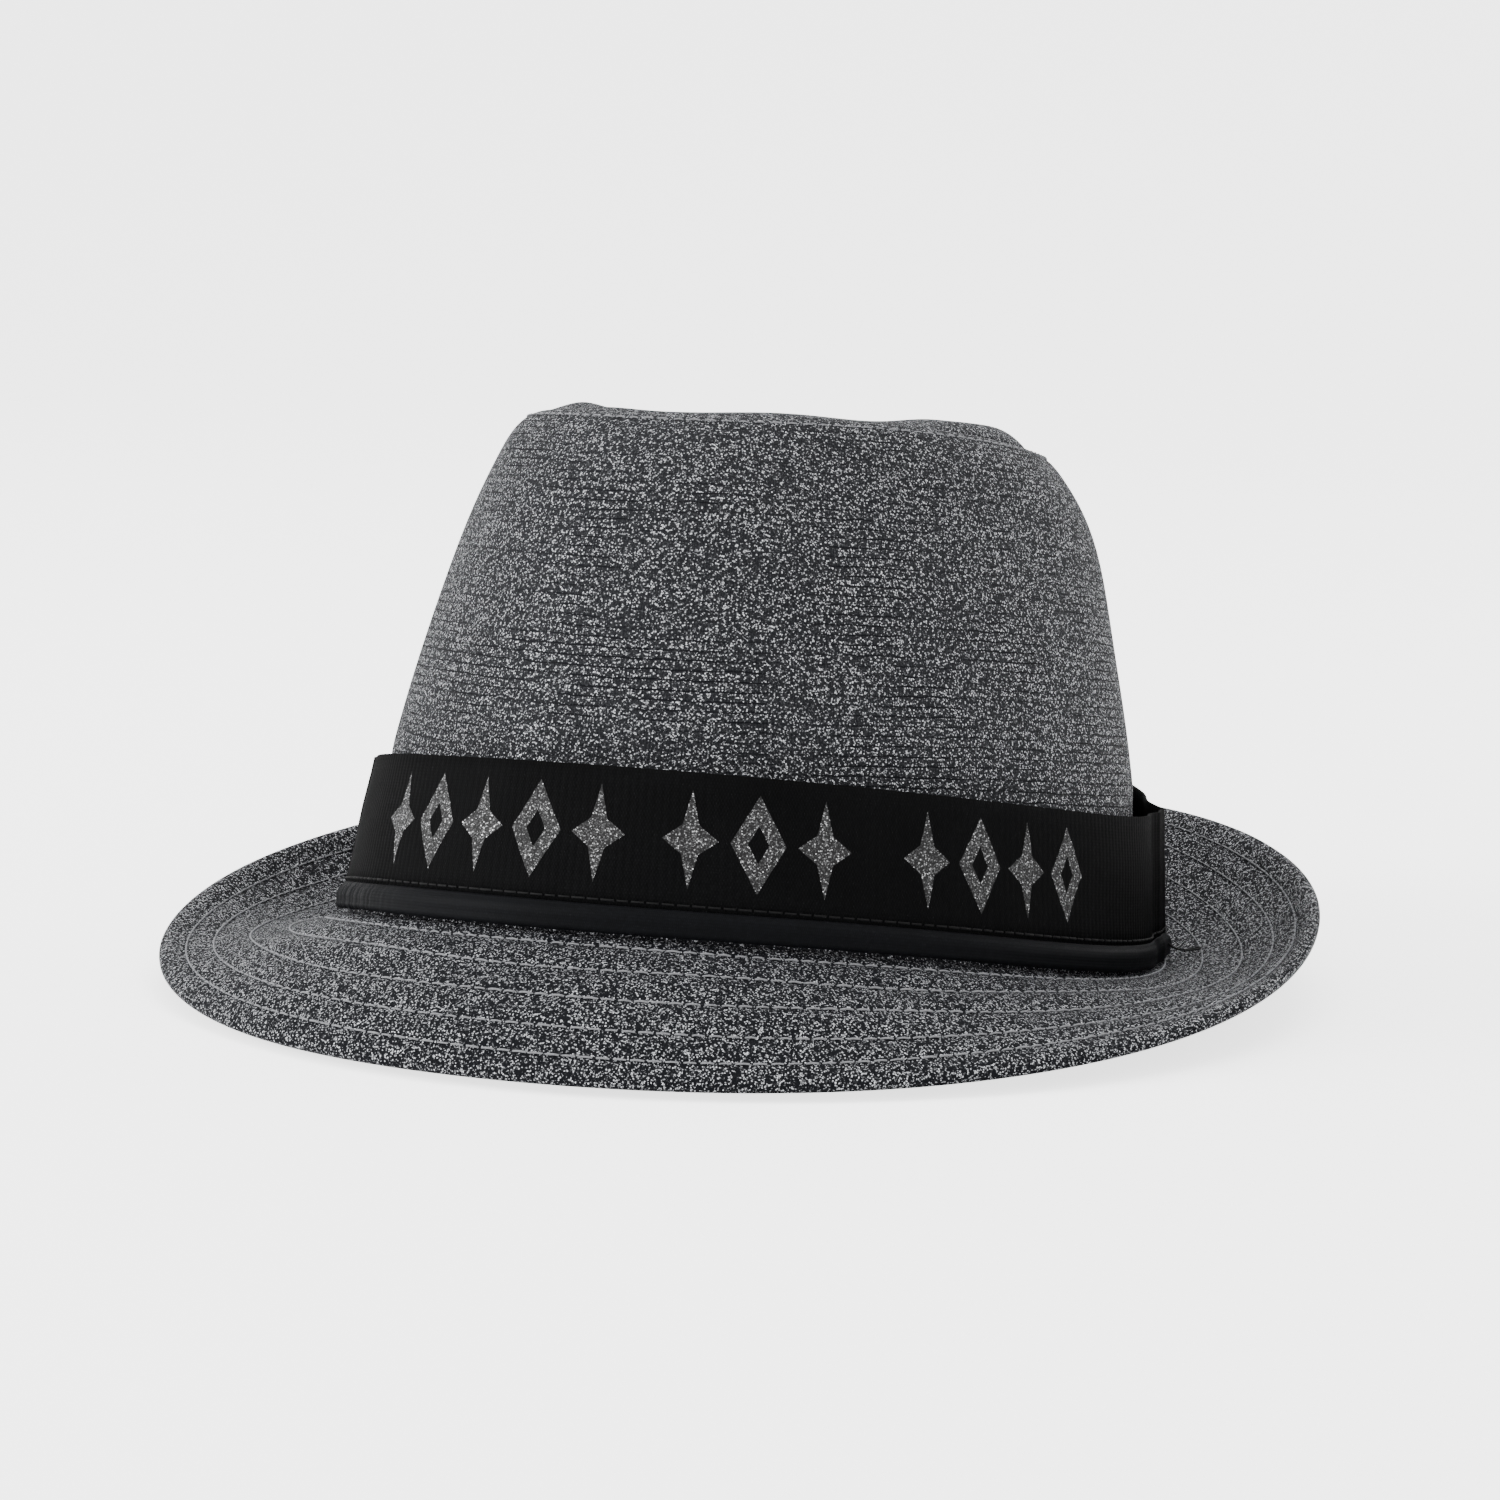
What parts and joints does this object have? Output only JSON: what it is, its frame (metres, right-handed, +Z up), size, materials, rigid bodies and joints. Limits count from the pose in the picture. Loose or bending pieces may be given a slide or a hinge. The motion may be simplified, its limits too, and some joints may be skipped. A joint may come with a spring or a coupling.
{
  "type": "new year party hat",
  "caption": "Soft trilby-shaped party hat in glitter knit, with a dented crown, a topstitched snap brim and a loose printed ribbon band.",
  "frame": {"origin": "middle of the hat's outline on the table it stands on", "axes": "+Z up from the table, -Y towards the front of the hat, +X towards the wearer's left"},
  "size_m": [0.2444, 0.2662, 0.1233],
  "materials": {
    "glitter_knit": "black and silver lurex knit with a fine sparkle",
    "stiffener": "matte non-woven interlining",
    "lining": "smooth woven lining",
    "grey_thread": "matte light grey sewing thread",
    "black_thread": "matte black sewing thread",
    "sweatband_cloth": "black twill tape",
    "grosgrain": "matte black ribbed grosgrain",
    "satin": "black satin with a soft sheen",
    "cotton_cord": "soft cotton filler",
    "glitter_print": "silver glitter in a clear binder"
  },
  "bodies": {
    "hat": {"crown_side_knit": "glitter_knit", "crown_side_stiffener": "stiffener", "crown_side_lining": "lining", "crown_tip_knit": "glitter_knit", "crown_tip_stiffener": "stiffener", "crown_tip_lining": "lining", "crown_tip_topstitch": "grey_thread", "brim_upper_knit": "glitter_knit", "brim_stiffener": "stiffener", "brim_lower_knit": "glitter_knit", "sweatband": "sweatband_cloth", "sweatband_stitch": "black_thread", "brim_stitch_row_1": "grey_thread", "brim_stitch_row_2": "grey_thread", "brim_stitch_row_3": "grey_thread", "brim_stitch_row_4": "grey_thread", "brim_stitch_row_5": "grey_thread"},
    "hatband": {"hatband_ribbon": "grosgrain", "hatband_roll_cover": "satin", "hatband_piping_cord": "cotton_cord", "hatband_topstitch": "black_thread", "hatband_print": "glitter_print"}
  },
  "joints": [
    {"name": "hatband_lift", "type": "slide", "parent": "hat", "child": "hatband", "axis": [0, 0.1063, 0.9943], "range_m": [0, 0.12]}
  ]
}
